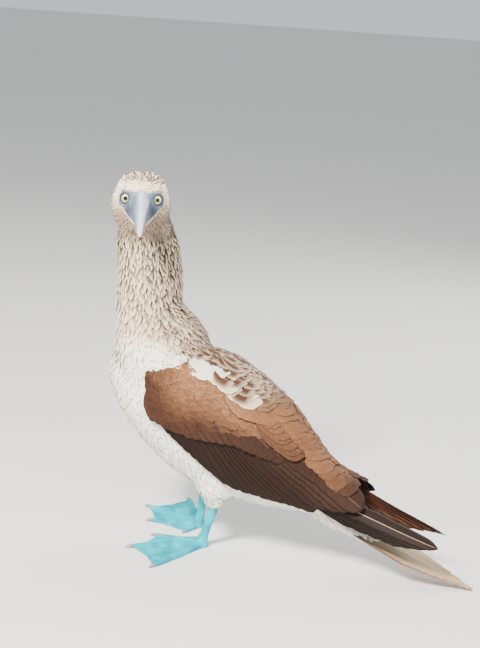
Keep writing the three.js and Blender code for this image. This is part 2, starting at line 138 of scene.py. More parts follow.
softbox("key", (-0.5, -1.7, 1.9), (0, 0, 0.2), 0.5, 210, (1.0, 0.96, 0.9))
softbox("fill", (1.6, -1.2, 1.0), (0, 0, 0.2), 1.6, 26, (0.96, 0.97, 1.0))
softbox("rim", (0.5, 1.6, 1.3), (0, 0, 0.25), 1.2, 34, (1.0, 0.98, 0.95))
world = bpy.data.worlds.new("studio")
world.use_nodes = True
sky = world.node_tree.nodes["Background"]
sky.inputs["Color"].default_value = (0.86, 0.88, 0.9, 1)
sky.inputs["Strength"].default_value = 0.85
bpy.context.scene.world = world

# The body's skin is one smooth surface through torso, neck, head, thighs and the root of the
# tail. It lies under the coat by the coat's depth, and at the face it is bare.
COAT_DEPTH = 2.6
SKIN_VOXEL = 0.0019
SKIN_ROUNDS = 9
TAIL_ROOT_FORM = [
    (128, 84, 20, 26), (150, 69, 19, 27), (176, 56, 12.5, 25), (205, 43.5, 7, 21), (232, 33, 3.4, 16),
    (250, 26.5, 1.6, 11),
]


def smooth_rows(rows, steps):
    rows = np.asarray(rows, float)
    near = lambda i: rows[min(max(i, 0), len(rows) - 1)]
    fine = []
    for i in range(len(rows) - 1):
        for s in range(steps):
            u = s / steps
            a, b, c, d = near(i - 1), near(i), near(i + 1), near(i + 2)
            fine.append(b + 0.5 * u * (c - a + u * (2 * a - 5 * b + 4 * c - d + u * (3 * (b - c) + d - a))))
    fine.append(rows[-1])
    return np.array(fine)


def ovals(centres, across, up, width, high, low, count):
    turn = np.linspace(0, 2 * math.pi, count, endpoint=False)
    centres, across, up = (np.atleast_2d(v)[:, None, :] for v in (centres, across, up))
    width, high, low = (np.asarray(v, float)[:, None] for v in (width, high, low))
    sine = np.sin(turn)[None, :]
    rise = sine * np.where(sine > 0, high, low)
    return centres + across * (width * np.cos(turn)[None, :])[..., None] + up * rise[..., None]


def mesh_object(name, points, faces):
    mesh = bpy.data.meshes.new(name)
    mesh.from_pydata(place(points).tolist(), [], faces)
    mesh.update()
    made = bpy.data.objects.new(name, mesh)
    show(made)
    return made


def loft_faces(rows, count):
    faces = []
    for r in range(rows - 1):
        for i in range(count):
            a, b = r * count + i, r * count + (i + 1) % count
            faces.append((a, b, b + count, a + count))
    faces.append(tuple(reversed(range(count))))
    faces.append(tuple((rows - 1) * count + i for i in range(count)))
    return faces


def loft(name, rings):
    rows, count = rings.shape[:2]
    made = mesh_object(name, rings.reshape(-1, 3), loft_faces(rows, count))
    weld(made.data, 1e-7, outwards=True)
    made.data.shade_smooth()
    return made


def weld(mesh, gap, outwards=False):
    net = bmesh.new()
    net.from_mesh(mesh)
    bmesh.ops.remove_doubles(net, verts=net.verts, dist=gap)
    if outwards:
        bmesh.ops.recalc_face_normals(net, faces=net.faces)
    net.to_mesh(mesh)
    net.free()


def only(made):
    bpy.ops.object.select_all(action="DESELECT")
    made.select_set(True)
    bpy.context.view_layer.objects.active = made


def finish_with(made, kind, **settings):
    only(made)
    modifier = made.modifiers.new(kind.lower(), kind)
    for key, value in settings.items():
        setattr(modifier, key, value)
    bpy.ops.object.modifier_apply(modifier=modifier.name)


def flesh_copy(node):
    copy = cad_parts[node].copy()
    copy.data = copy.data.copy()
    copy.parent = None
    copy.data.materials.clear()
    show(copy)
    weld(copy.data, 1e-6)
    return copy


def fused(name, pieces, voxel, rounds):
    bpy.ops.object.select_all(action="DESELECT")
    for piece in pieces:
        piece.select_set(True)
    bpy.context.view_layer.objects.active = pieces[0]
    bpy.ops.object.join()
    whole = bpy.context.object
    whole.name = whole.data.name = name
    finish_with(whole, "REMESH", mode="VOXEL", voxel_size=voxel)
    finish_with(whole, "SMOOTH", factor=0.5, iterations=rounds)
    whole.data.shade_smooth()
    return whole


tail_rows = smooth_rows(TAIL_ROOT_FORM, 3)
tail_centres = np.column_stack([tail_rows[:, 0], np.zeros(len(tail_rows)), tail_rows[:, 1]])
tail_along = np.gradient(tail_centres, axis=0)
tail_along /= np.linalg.norm(tail_along, axis=1)[:, None]
tail_up = np.cross(tail_along, (0, 1, 0)) * -1
tail_up *= np.sign(tail_up[:, 2])[:, None]
tail_form = loft("tail_form", ovals(tail_centres, (0, 1, 0), tail_up, tail_rows[:, 3], tail_rows[:, 2],
                                    tail_rows[:, 2], 24))
flesh = [flesh_copy(n) for n in ("torso", "neck", "head", "thigh_left", "thigh_right")]
for piece in flesh:
    finish_with(piece, "DISPLACE", strength=0.0004, mid_level=0)
skin = fused("skin", flesh + [tail_form], SKIN_VOXEL, SKIN_ROUNDS)


def read_all(items, key, width=1, kind=float):
    """One number, or one row of them, from every item of a mesh."""
    flat = np.empty(len(items) * width, kind)
    items.foreach_get(key, flat)
    return flat if width == 1 else flat.reshape(-1, width)


def read_points(mesh):
    return read_all(mesh.vertices, "co", 3)


def bird_points(mesh):
    """A mesh's points in the bird's axes, in millimetres."""
    return read_points(mesh) * 1000 - SHIFT


def read_normals(mesh):
    return read_all(mesh.vertex_normals, "vector", 3)


def head_axes(points):
    away = points - HEAD_AT
    return away @ HEAD_FRONT, away @ HEAD_LEFT, away[:, 2]


def step(value, low, high):
    u = np.clip((value - low) / (high - low), 0, 1)
    return u * u * (3 - 2 * u)


# How bare the face is: 1 on the mask from eye to eye and down to the chin, 0 under feathers.
MASK_TOP = 21.5


def bare_face(points):
    forward, left, up = head_axes(points)
    half = 27.5 - np.clip(5 - up, 0, 26) - 0.5 * np.clip(up - 14, 0, 20)
    top = MASK_TOP + 1.5 * np.exp(-(left / 5) ** 2)
    edge = np.minimum.reduce([half - np.abs(left), top - up, up + 21, (forward - 7) * 0.7])
    return np.clip(edge / 1.4 + 0.5, 0, 1)


skin_points = bird_points(skin.data)
skin_normals = read_normals(skin.data)
bare = bare_face(skin_points)
skin_points -= skin_normals * (COAT_DEPTH * (1 - bare))[:, None]
LID_OPEN = math.radians(50)


def lid_way(side):
    return head_way(0.86, side * 0.5, 0.06)


for side in (-1, 1):
    centre = eye_centre(side)
    facing = lid_way(side)
    away = skin_points - centre
    reach = np.linalg.norm(away, axis=1)
    angle = np.arccos(np.clip(away @ facing / reach, -1, 1))
    inner = EYE_RADIUS * 0.88
    outer = np.maximum(reach, EYE_RADIUS + 0.5)
    rim = step(angle, LID_OPEN, LID_OPEN + 0.3)
    target = np.where(angle < LID_OPEN + 0.5, np.minimum(inner + (outer - inner) * rim, outer), reach)
    near = (reach < EYE_RADIUS * 2.4) & (angle < LID_OPEN + 0.5)
    skin_points = np.where(near[:, None], centre + away * (target / reach)[:, None], skin_points)
skin.data.vertices.foreach_set("co", place(skin_points).ravel())
skin.data.update()
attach(skin, "root")
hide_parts("torso", "neck", "head", "thigh_left", "thigh_right")


# Plumage colours of the bird: a cream and taupe head and neck, a white breast and
# belly, and a rufous mantle with cream fringes. The bare face is slate.
def tint(r, g, b):
    return np.array([((c / 255 + 0.055) / 1.055) ** 2.4 if c > 10 else c / 3294.6 for c in (r, g, b)])


CREAM = tint(248, 229, 196)
WHITE = tint(252, 248, 234)
TAUPE = tint(60, 43, 34)
DARK_STREAK = tint(46, 32, 26)
RUFOUS = tint(82, 53, 36)
FRINGE = tint(232, 208, 180)
SLATE = tint(96, 108, 130)

AXIS_ROOT = np.array([160.0, 0.0, 80.0])
AXIS_PITCH = math.radians(25.2)
AXIS_DIR = np.array([-math.cos(AXIS_PITCH), 0, math.sin(AXIS_PITCH)])
AXIS_UP = np.array([math.sin(AXIS_PITCH), 0, math.cos(AXIS_PITCH)])


def axis_place(points):
    away = points - AXIS_ROOT
    return away @ AXIS_DIR, away @ AXIS_UP


def between(first, second, share):
    return first + (second - first) * share


def blend(first, second, shares):
    return between(first, second, np.asarray(shares)[:, None])


# Regions of the plumage by place on the body: a wave that makes their edges uneven, then how
# streaked, mantled and far round to the back each place is, from 0 to 1.
def regions(points, normals):
    along, height = axis_place(points)
    x, y, z = points.T
    wave = 6 * np.sin(y * 0.16 + z * 0.05) + 4 * np.sin(z * 0.21 - x * 0.13)
    back = step(normals[:, 0] + 0.25 * normals[:, 2], -0.1, 0.6)
    streaked = step(z + wave + 14 * back, 222, 292)
    mantle = step(height + wave * 0.5, 46, 56) * step(along, -10, 40) * step(250 - along, 0, 16)
    nape = step(normals[:, 0] + 0.02 * wave, 0.45, 0.65) * step(294 - z + wave, 0, 26) * step(height, 20, 40)
    mantle = np.maximum(mantle, nape)
    patch = step(along, 138, 150) * step(214 - along, 0, 12) * step(np.abs(y), 22, 30) * step(height, 40, 50)
    return wave, streaked, np.clip(mantle * (1 - patch), 0, 1), back


def down_colour(points, normals):
    wave, streaked, mantle, back = regions(points, normals)
    # More taupe where the skin faces back: painted shade on that side.
    colour = blend(WHITE, blend(CREAM, TAUPE, 0.35 + 0.25 * back), streaked)
    colour = blend(colour, CREAM * 0.9, step(points[:, 2] + wave * 0.3, 372, 384) * 0.8)
    return blend(colour, RUFOUS, mantle * 0.9)


def set_colours(mesh, colours):
    layer = mesh.color_attributes.new("plumage", "FLOAT_COLOR", "POINT")
    flat = np.ones((len(mesh.vertices), 4))
    flat[:, :3] = np.clip(colours, 0, 1)
    layer.data.foreach_set("color", flat.ravel())


forward, left, up = head_axes(skin_points)
lore = np.exp(-((np.abs(left) - 14) / 6) ** 2) * step(11 - up, 0, 9)
face = blend(SLATE, tint(58, 59, 74), np.clip(lore * 0.9, 0, 1))
face = blend(face, tint(158, 170, 192), np.exp(-(left / 9) ** 2) * step(forward, 26, 40) * 0.8)
set_colours(skin.data, blend(down_colour(skin_points, skin_normals), face, bare))


def feed(finish, node, socket, value):
    """Links a socket to another node's output, or gives it a value of its own."""
    if isinstance(value, bpy.types.NodeSocket):
        finish.node_tree.links.new(value, node.inputs[socket])
    else:
        node.inputs[socket].default_value = value


def add_node(finish, kind, sockets, **settings):
    node = finish.node_tree.nodes.new("ShaderNode" + kind)
    for key, value in settings.items():
        setattr(node, key, value)
    for socket, value in sockets.items():
        feed(finish, node, socket, value)
    return node


def mixed(finish, kind, share, first, second):
    sockets = {"Factor": share, "A": first, "B": second}
    return add_node(finish, "Mix", sockets, data_type="RGBA", blend_type=kind).outputs["Result"]


def shades_of(finish, source, *stops):
    ramp = add_node(finish, "ValToRGB", {"Fac": source})
    for element, (position, colour) in zip(ramp.color_ramp.elements, stops):
        element.position = position
        element.color = (*colour, 1)
    return ramp.outputs["Color"]


def object_noise(finish, scale, detail):
    spot = add_node(finish, "TexCoord", {}).outputs["Object"]
    return add_node(finish, "TexNoise", {"Vector": spot, "Scale": scale, "Detail": detail}).outputs["Fac"]


def surface(finish, colour, height=None, depth=0.0, strength=0.0):
    shader = finish.node_tree.nodes["Principled BSDF"]
    feed(finish, shader, "Base Color", colour)
    if height is not None:
        bump = add_node(finish, "Bump", {"Distance": depth, "Strength": strength, "Height": height})
        feed(finish, shader, "Normal", bump.outputs["Normal"])


def painted(finish):
    return add_node(finish, "Attribute", {}, attribute_name="plumage").outputs["Color"]


def plumage_finish(name, roughness, sheen, grain, depth):
    finish = new_finish(name, {"Roughness": roughness, "Sheen Weight": sheen, "Specular IOR Level": 0.12})
    noise = object_noise(finish, grain, 3)
    mottle = shades_of(finish, noise, (0.3, (0.55, 0.53, 0.5)), (0.65, (1, 1, 1)))
    surface(finish, mixed(finish, "MULTIPLY", 0.35, painted(finish), mottle), noise, depth, 0.5)
    return finish


skin.data.materials.append(plumage_finish("skin_and_down", 0.6, 0.0, 900, 0.0004))

# The coat of small feathers. Roots stand evenly over the skin, and each feather hugs the body
# in the lie of the coat, from the bill back over the head, down the neck and to the tail.
only(skin)
bpy.ops.object.mode_set(mode="EDIT")
bpy.ops.mesh.select_all(action="SELECT")
bpy.ops.uv.smart_project(angle_limit=math.radians(66), island_margin=0.002)
bpy.ops.object.mode_set(mode="OBJECT")
skin.data.uv_layers[0].name = "OFBake"
skin_uv = read_all(skin.data.uv_layers["OFBake"].data, "uv", 2)
loop_start = read_all(skin.data.polygons, "loop_start", kind=int)
skin_corners = [tuple(p.vertices) for p in skin.data.polygons]
skin_tree = BVHTree.FromPolygons(skin_points.tolist(), skin_corners)
chance = np.random.default_rng(41)
ROOTS_TRIED = 5
ROOT_ROOM = 0.82
NEARBY = [(dx, dy, dz) for dx in (-1, 0, 1) for dy in (-1, 0, 1) for dz in (-1, 0, 1)]


def scattered_roots(spacing, wanted):
    """Roots at random on the skin, thinned so that none stands too near another."""
    areas = read_all(skin.data.polygons, "area")
    amount = int(areas.sum() * 1e6 / spacing ** 2 * ROOTS_TRIED)
    faces = chance.choice(len(areas), amount, p=areas / areas.sum())
    corners = np.array([skin_corners[f][:3] + (skin_corners[f][-1],) for f in faces])
    a, b = chance.random(amount), chance.random(amount)
    p = [skin_points[corners[:, k]] for k in range(4)]
    roots = ((1 - a) * (1 - b))[:, None] * p[0] + (a * (1 - b))[:, None] * p[1]
    roots += (a * b)[:, None] * p[2] + ((1 - a) * b)[:, None] * p[3]
    normals = skin_normals[corners[:, 0]]
    keep = wanted(roots, normals)
    roots, normals, faces = roots[keep], normals[keep], faces[keep]
    order, taken = [], {}
    for i, cell in enumerate(map(tuple, np.floor(roots / spacing).astype(int))):
        near = [j for d in NEARBY for j in taken.get((cell[0] + d[0], cell[1] + d[1], cell[2] + d[2]), ())]
        if not any(((roots[i] - roots[j]) ** 2).sum() < (spacing * ROOT_ROOM) ** 2 for j in near):
            taken.setdefault(cell, []).append(i)
            order.append(i)
    return roots[order], normals[order], faces[order]


def lie_of_coat(points):
    on_head = step(points[:, 2], 378, 400)[:, None]
    down_neck = step(points[:, 2], 215, 290)[:, None]
    head_flow = -HEAD_FRONT * 0.85 + np.array([0, 0, -0.55])
    neck_flow = np.array([0.12, 0.0, -1.0])
    body_flow = -AXIS_DIR + np.array([0, 0, -0.12])
    flow = body_flow * (1 - down_neck) + neck_flow * down_neck
    return flow * (1 - on_head) + head_flow * on_head


FEATHER_ROWS = np.array([0.0, 0.35, 0.7, 1.0])
FEATHER_WIDE = np.array([0.55, 1.0, 0.86, 0.0])
BAKE_HALF = 0.0015


def coat(name, roots, size, colours, columns=5):
    """Grows one piece of the coat: each feather follows the skin in three steps from its root."""
    points, normals, faces = roots
    count = len(points)
    length, width, lift, stray = size
    flow = lie_of_coat(points)
    flow += chance.normal(0, 1, flow.shape) * np.asarray(stray)[:, None]
    flow -= normals * (flow * normals).sum(axis=1)[:, None]
    flow /= np.linalg.norm(flow, axis=1)[:, None]
    side = np.cross(normals, flow)
    spine, away = [points], [normals]
    at, direction = points, flow
    for k in range(1, len(FEATHER_ROWS)):
        reach = (length * (FEATHER_ROWS[k] - FEATHER_ROWS[k - 1]))[:, None]
        hits = [skin_tree.find_nearest(goal) for goal in at + direction * reach]
        landed, faced = (np.array([hit[k] for hit in hits], float).reshape(-1, 3) for k in (0, 1))
        direction = landed - at
        direction -= faced * (direction * faced).sum(axis=1)[:, None]
        direction /= np.maximum(np.linalg.norm(direction, axis=1), 1e-6)[:, None]
        at = landed
        spine.append(landed)
        away.append(faced)
    spread = np.linspace(-1, 1, columns)
    rows = len(FEATHER_ROWS)
    per = (rows - 1) * columns + 1
    verts, tones = np.empty((count, per, 3)), np.empty((count, per, 3))
    for k in range(rows):
        rise = (lift * (0.12 + 0.88 * FEATHER_ROWS[k] ** 0.8))[:, None]
        middle = spine[k] + away[k] * rise
        if k == rows - 1:
            verts[:, -1] = middle
            tones[:, -1] = colours(points, normals, np.full(count, 1.0), np.zeros(count))
            break
        for c, s in enumerate(spread):
            half = (width * FEATHER_WIDE[k] * 0.5 * s)[:, None]
            sag = away[k] * (np.abs(half) * abs(s) * 0.22)
            verts[:, k * columns + c] = middle + side * half - sag
            tones[:, k * columns + c] = colours(points, normals, np.full(count, FEATHER_ROWS[k]),
                                                np.full(count, s))
    corner = [k * columns + c for k in range(rows - 2) for c in range(columns - 1)]
    quads = np.array([(a, a + columns, a + columns + 1, a + 1) for a in corner])
    last = (rows - 2) * columns
    tips = np.array([(last + c, per - 1, last + c + 1) for c in range(columns - 1)])
    start = (np.arange(count) * per)[:, None, None]
    quads, tips = (quads[None] + start).reshape(-1, 4), (tips[None] + start).reshape(-1, 3)
    made = mesh_object(name, verts.reshape(-1, 3), quads.tolist() + tips.tolist())
    set_colours(made.data, tones.reshape(-1, 3))
    loops = np.concatenate([quads.ravel(), tips.ravel()])
    across = np.tile(np.concatenate([np.tile(spread, rows - 1), [0]]), count)
    down = np.tile(np.concatenate([np.repeat(FEATHER_ROWS[:-1], columns), [1]]), count)
    root_uv = np.repeat(skin_uv[loop_start[faces]], per, axis=0)
    patch = root_uv + np.column_stack([across, down * 2 - 1]) * BAKE_HALF
    made.data.uv_layers.new(name="OFBake").data.foreach_set("uv", patch[loops].ravel())
    made.data.shade_smooth()
    made.data.materials.append(feather_finish)
    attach(made, "root")


feather_finish = plumage_finish("body_feathers", 0.8, 0.05, 1400, 0.0002)


def varied(count, mean, spread):
    return mean * (1 + spread * (chance.random(count) * 2 - 1))


# The head: short feathers round the bare mask, cream on the brow, with dark streaks on the crown
# and sides and a taupe chin. Those of the crown stand loose.
def is_head(points, normals):
    return (points[:, 2] > HEAD_FROM - 2) & (bare_face(points) < 0.35)


def head_colours(points, normals, down, across):
    forward, left, up = head_axes(points)
    crown = step(up, 26, 31)
    side = step(np.abs(left) + 0.4 * (20 - forward), 28, 40)
    streak = np.maximum(crown, side * 0.75) * (np.abs(across) < 0.6)
    dots = 0.5 + 0.5 * np.sin(points[:, 0] * 5.1 + points[:, 1] * 3.7 + points[:, 2] * 4.3)
    streak = streak * step(dots, 0.1, 0.3) * (0.3 + 0.7 * step(down, 0.1, 0.6))
    base = blend(CREAM, tint(205, 188, 168), side * 0.6 + 0.2 * dots)
    chin = step(16 - up, 0, 24) * step(forward, -30, 5)
    base = blend(base, tint(136, 112, 95), chin * 0.85)
    base = blend(base, TAUPE, chin * step(np.abs(across), 0.45, 0.95) * step(0.95 - down, 0, 0.3) * 0.8)
    return blend(base, DARK_STREAK, np.clip(streak * 1.25, 0, 1))


HEAD_FROM = 377
head_roots = scattered_roots(2.3, is_head)
n = len(head_roots[0])
_, head_aside, head_up = head_axes(head_roots[0])
head_aside = np.abs(head_aside)
head_long = 5.5 + 3.5 * step(-head_up, -25, 20)
loose = step(head_up, 18, 34) * step(head_aside, 2, 16) * step(31 - head_aside, 0, 8)
coat("coat_head", head_roots,
     (varied(n, 1, 0.2) * head_long, varied(n, 2.5, 0.2), varied(n, 2.6, 0.35) + 2.6 * loose,
      np.full(n, 0.16)), head_colours)


# The neck: longer, loose feathers, cream down the middle and taupe between them, which makes the
# streaks. They lengthen towards the breast and pass into white there.
def is_neck(points, normals):
    _, streaked, mantle, _ = regions(points, normals)
    return (points[:, 2] <= HEAD_FROM) & (streaked > 0.04) & (mantle < 0.5)


def neck_colours(points, normals, down, across):
    _, streaked, mantle, back = regions(points, normals)
    dots = 0.5 + 0.5 * np.sin(points[:, 0] * 2.1 + points[:, 1] * 2.7 + points[:, 2] * 1.9)
    chin = step(points[:, 2], 335, 385)
    # Where the neck faces back its base is browner and its streaks darker: painted shade on that side.
    base = blend(CREAM, tint(184, 160, 136), 0.1 + 0.25 * back + 0.5 * chin * dots)
    gap = np.maximum(step(np.abs(across), 0.3, 0.8) * step(1.0 - down, 0, 0.3), step(0.75 - down, 0, 0.5))
    streak = gap * streaked ** 1.4 * (0.85 + 0.2 * back + 0.2 * chin) * (0.65 + 0.35 * dots)
    base = blend(base, TAUPE, np.clip(streak, 0, 1))
    return blend(blend(WHITE, base, np.clip(streaked * 1.4, 0, 1)), RUFOUS, mantle * 0.6)


neck_roots = scattered_roots(3.7, is_neck)
n = len(neck_roots[0])
lock = 0.85 + 0.4 * step(345 - neck_roots[0][:, 2], 0, 60)
coat("coat_neck", neck_roots,
     (varied(n, 13, 0.2) * lock, varied(n, 4.6, 0.2) * lock, varied(n, 3.8, 0.5), np.full(n, 0.17)),
     neck_colours)

# The mantle between neck and wings: rufous feathers with broad cream fringes. No coat grows where
# a wing lies over the body.
WING_LOW = [
    (-134, 34), (-128, 30), (-100, 19), (-58, 6), (-26, -2), (26, -8), (57, -22), (100, -36), (126, -33),
    (145, -28), (180, -26), (200, -18), (217, -12), (246, 0), (270, 20), (279, 40),
]
wing_low = smooth_rows(WING_LOW, 3)


def read_curve(curve, along):
    return np.interp(along, curve[:, 0], curve[:, 1])


def under_wing(points, margin):
    along, height = axis_place(points)
    low = read_curve(wing_low, along)
    high = np.interp(along, (-20, 25, 66, 110, 160, 214, 264), (10, 22, 80, 95, 95, 60, 46))
    within = (along < 268 - margin) & (height > low + margin) & (height < high - margin)
    return within & (np.abs(points[:, 1]) > 12)


def is_mantle(points, normals):
    _, _, mantle, _ = regions(points, normals)
    return (points[:, 2] <= HEAD_FROM) & (mantle >= 0.5) & ~under_wing(points, 9)


def mantle_colours(points, normals, down, across):
    tone = 0.5 + 0.5 * np.sin(points[:, 0] * 0.31 + points[:, 1] * 0.37)
    base = blend(RUFOUS, tint(88, 56, 40), tone * 0.6)
    edge = np.maximum(step(np.abs(across), 0.4, 1.0) * 0.8, step(down, 0.6, 0.95))
    return blend(base, FRINGE, edge * (0.75 + 0.25 * tone))


mantle_roots = scattered_roots(4.0, is_mantle)
n = len(mantle_roots[0])
coat("coat_mantle", mantle_roots,
     (varied(n, 13, 0.2), varied(n, 6.2, 0.2), varied(n, 3.6, 0.4), np.full(n, 0.14)), mantle_colours)

# The breast, belly, thighs and vent: soft white feathers, a little grey in places and buff towards
# the tail, and shorter on the thighs.
TAIL_FROM = 236


def is_white(points, normals):
    _, streaked, mantle, _ = regions(points, normals)
    white = (points[:, 2] <= HEAD_FROM) & (streaked <= 0.3) & (mantle < 0.5)
    return white & (points[:, 0] < TAIL_FROM) & ~under_wing(points, 9)


def white_colours(points, normals, down, across):
    tone = 0.5 + 0.5 * np.sin(points[:, 0] * 0.9 + points[:, 1] * 0.7 + points[:, 2] * 0.8)
    vent = step(points[:, 0], 60, 190)
    base = blend(WHITE, tint(226, 228, 220), tone * 0.5)
    return blend(base, tint(228, 214, 186), vent * 0.35 * tone)


white_roots = scattered_roots(3.3, is_white)
n = len(white_roots[0])
white_long = varied(n, 12, 0.25)
white_long *= np.where(white_roots[0][:, 2] < 76, 0.75, 1.0)
coat("coat_white", white_roots,
     (white_long, varied(n, 4.6, 0.25), varied(n, 2.9, 0.4), np.full(n, 0.12)), white_colours, columns=3)

# The folded wings. A thin bed over the flank carries the feathers in tiers, each tier over the
# next: primaries lowest, then secondaries, greater coverts, tertials and scapulars.
CARRIAGE = [
    (-142, 23, 18, 23), (-128, 20, 21, 25), (-100, 12, 26, 28), (-57, 2, 32, 31), (-20, -2, 34, 34),
    (25, -3, 30, 36), (66, -6, 48, 46), (110, -6, 66, 54), (160, -8, 76, 60), (214, -5, 75, 62),
    (262, -8, 57, 57), (296, -9, 39, 43), (318, -6, 24, 27), (330, -5, 8, 9),
]
carriage_rows = smooth_rows(CARRIAGE, 3)
WING_LEAN = -12.0
WRAP_FROM, WRAP_RATE = 0.9, 1.3


def section_at(along):
    return [np.interp(along, carriage_rows[:, 0], carriage_rows[:, k]) for k in (1, 2, 3)]


def on_wing(side, along, height, lift):
    middle, half, wide = section_at(along)
    share = (height - middle) / half
    angle = np.arcsin(np.clip(share, -WRAP_FROM, WRAP_FROM))
    angle = angle + np.sign(share) * np.maximum(np.abs(share) - WRAP_FROM, 0) * WRAP_RATE
    points = AXIS_ROOT + (np.asarray(along)[..., None] * AXIS_DIR)
    points = points + (middle + (half + lift) * np.sin(angle))[..., None] * AXIS_UP
    lean = WING_LEAN * np.clip((60 - along) / 190, 0, 1)
    points[..., 1] = side * (wide + lift) * np.cos(angle) + lean
    return points


BED_REAR, BED_WRIST, BED_ROWS, BED_COLUMNS = 6, 277, 42, 11


def wing_bed(side, name):
    """The wing's body: a slab over the flank, thinner at its lower edge and at its ends."""
    share = np.linspace(0, 1, BED_COLUMNS)
    body = np.minimum(1, 0.3 + np.sin(np.pi * np.minimum(share, 0.96)) * 1.1)
    rings = []
    for along in np.linspace(BED_REAR, BED_WRIST, BED_ROWS):
        middle, half, _ = section_at(along)
        low = read_curve(wing_low, along) + 5 * min(1, (BED_WRIST - along) / 60)
        over_back = 0.27 * (step(225.0 - along, 0, 40) * step(along, 15, 50))
        shoulder = 0.165 * step(205.0 - along, 0, 40)
        lobe = -0.3 * step(along, 256, 280)
        high = middle + half * (0.8 + lobe + shoulder + over_back)
        ends = min(1, 0.4 + (along - BED_REAR) / 90, 0.3 + (BED_WRIST - along) / 14)
        height = low + (max(high, low + 4) - low) * share
        where = np.full(BED_COLUMNS, along)
        outer = on_wing(side, where, height, 0.6 + 6.4 * ends * body * (0.15 + 0.85 * share ** 1.4))
        inner = on_wing(side, where, height, np.full(BED_COLUMNS, -1.8))
        rings.append(np.vstack([outer, inner[::-1]]))
    return loft(name, np.array(rings))


SHAFT_COLUMNS = np.array([-1, -0.78, -0.5, -0.24, -0.06, 0, 0.06, 0.24, 0.5, 0.78, 1.0])
SHAFT_HALF, SHAFT_RISE = 0.03, 0.28
VANE_CAMBER = 0.5


def rounded(u, begin, reach):
    return np.sqrt(np.clip(1 - (np.clip(u - begin, 0, 1) / reach) ** 2, 0.012, 1))


def broad_tip(u):
    return np.minimum(1, 0.5 + 1.8 * u) * rounded(u, 0.84, 0.163)


def pointed_tip(u):
    return (1 - 0.45 * np.clip((u - 0.45) / 0.55, 0, 1) ** 1.4) * rounded(u, 0.88, 0.122)


def vane(where, width, tip, rows, columns, tilt, thick, closed, notch=0.0):
    """One feather: its points, its faces, and each point's place along and across the vane."""
    u = np.linspace(0, 1, rows) ** 0.9
    grid_u, grid_s = np.meshgrid(u, columns, indexing="ij")
    half = width / 2 * tip(grid_u)
    if notch:
        waves = np.sin(grid_u * chance.uniform(20, 34) + chance.uniform(0, 6))
        ragged = 1 - notch * np.clip(waves - 0.8, 0, 1) * 4
        half = half * np.where(np.abs(grid_s) > 0.7, ragged, 1)
    across = grid_s * half
    lift = VANE_CAMBER * (1 - grid_s ** 2) + tilt * grid_s
    edge = np.where(np.abs(grid_s) > 0.99, 0.15, 1.0)
    shaft = np.where(np.abs(grid_s) < SHAFT_HALF, SHAFT_RISE, 0) * (1.1 - grid_u)
    top = where(grid_u, across, lift + thick / 2 * edge + shaft)
    layers = [top, grid_u, grid_s, across]
    if closed:
        under = where(grid_u, across, lift - thick / 2 * edge)
        lower = [under, grid_u, grid_s, across]
        layers = [np.concatenate([a, b[:, -2:0:-1]], axis=1) for a, b in zip(layers, lower)]
    points, *places = layers
    faces = (loft_faces if closed else sheet_faces)(rows, points.shape[1])
    return (points.reshape(-1, 3), *(part.ravel() for part in places), faces)


def sheet_faces(rows, count):
    return [(r * count + i, r * count + i + 1, (r + 1) * count + i + 1, (r + 1) * count + i)
            for r in range(rows - 1) for i in range(count - 1)]


def feather_piece(name, finish, feathers, bake_at=None):
    """Joins feathers, each as (points, u, s, across, faces, length, colour function), into one mesh."""
    points, faces, tones, barbs, start = [], [], [], [], 0
    for made, u, s, across, own_faces, length, colour in feathers:
        points.append(made)
        faces += [tuple(i + start for i in face) for face in own_faces]
        tones.append(colour(u, s))
        barbs.append(np.column_stack([(u * length - np.abs(across) * 1.1) * 0.1, s * 0.5 + 0.5]))
        start += len(made)
    made = mesh_object(name, np.vstack(points), faces)
    set_colours(made.data, np.vstack(tones))
    loops = read_all(made.data.loops, "vertex_index", kind=int)
    if bake_at is not None:
        patch = np.vstack([np.array(spot) + np.column_stack([f[2], f[1] * 2 - 1]) * BAKE_HALF
                           for spot, f in zip(bake_at, feathers)])
        made.data.uv_layers.new(name="OFBake").data.foreach_set("uv", patch[loops].ravel())
    made.data.uv_layers.new(name="barbs").data.foreach_set("uv", np.vstack(barbs)[loops].ravel())
    made.data.shade_smooth()
    made.data.materials.append(finish)
    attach(made, "root")
    return made


def vane_finish(name, roughness, sheen):
    finish = plumage_finish(name, roughness, sheen, 500, 0.0001)
    shader = finish.node_tree.nodes["Principled BSDF"]
    along = add_node(finish, "UVMap", {}, uv_map="barbs").outputs["UV"]
    lines = add_node(finish, "TexWave", {"Vector": along, "Scale": 2.6, "Distortion": 1.5, "Detail": 2,
                                         "Detail Scale": 1.5}, wave_type="BANDS", bands_direction="X")
    stretch = add_node(finish, "Mapping", {"Vector": along, "Scale": (9, 1.2, 1)}).outputs["Vector"]
    brushed = add_node(finish, "TexNoise", {"Vector": stretch, "Scale": 1.4, "Detail": 4, "Roughness": 0.65})
    before = shader.inputs["Base Color"].links[0].from_socket
    tone = mixed(finish, "MULTIPLY", 0.3, before, lines.outputs["Color"])
    surface(finish, mixed(finish, "OVERLAY", 0.75, tone, brushed.outputs["Fac"]))
    bump = shader.inputs["Normal"].links[0].from_node
    feed(finish, bump, "Strength", 0.35)
    feed(finish, bump, "Height", lines.outputs["Fac"])
    return finish


